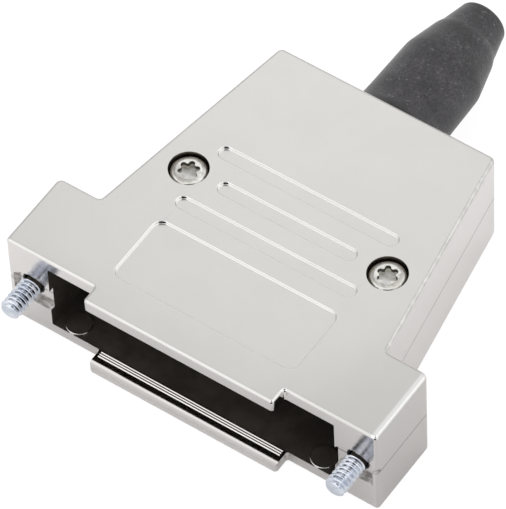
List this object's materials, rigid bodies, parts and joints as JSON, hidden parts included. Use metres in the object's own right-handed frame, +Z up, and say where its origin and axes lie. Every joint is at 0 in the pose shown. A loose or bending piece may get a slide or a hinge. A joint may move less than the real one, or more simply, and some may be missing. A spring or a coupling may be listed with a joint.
{
  "type": "d-sub hood",
  "caption": "Straight metal backshell for a D-subminiature cable connector: two screwed half shells, captive jack screws and a tapered rubber cable boot.",
  "frame": {"origin": "on the underside, midway across the hood, in the plane of the ears' front faces", "axes": "+Y along the hood from the mating side towards the cable boot, +Z up out of the screwed top face, +X from the left ear to the right ear as seen looking along +Y"},
  "size_m": [0.0534, 0.0687, 0.0146],
  "materials": {
    "nickel": "satin nickel plating on die-cast zinc",
    "screw_steel": "bright nickel-plated steel",
    "blue_zinc": "clear blue zinc plating on steel",
    "boot_rubber": "matt black rubber, lightly dusty"
  },
  "bodies": {
    "hood": {"upper_shell": "nickel", "lower_shell": "nickel", "assembly_screw_left": "screw_steel", "assembly_screw_right": "screw_steel", "cable_boot": "boot_rubber", "clamp_bar": "screw_steel", "clamp_screw_left": "screw_steel", "clamp_screw_right": "screw_steel"},
    "jack_screw_left": {"jack_screw_left": "blue_zinc"},
    "jack_screw_right": {"jack_screw_right": "blue_zinc"}
  },
  "joints": [
    {"name": "left_jack_turn", "type": "hinge", "parent": "hood", "child": "jack_screw_left", "pos_m": [-0.02352, 0, 0.0073], "axis": [0, 1, 0], "continuous": true},
    {"name": "right_jack_turn", "type": "hinge", "parent": "hood", "child": "jack_screw_right", "pos_m": [0.02352, 0, 0.0073], "axis": [0, 1, 0], "continuous": true}
  ]
}
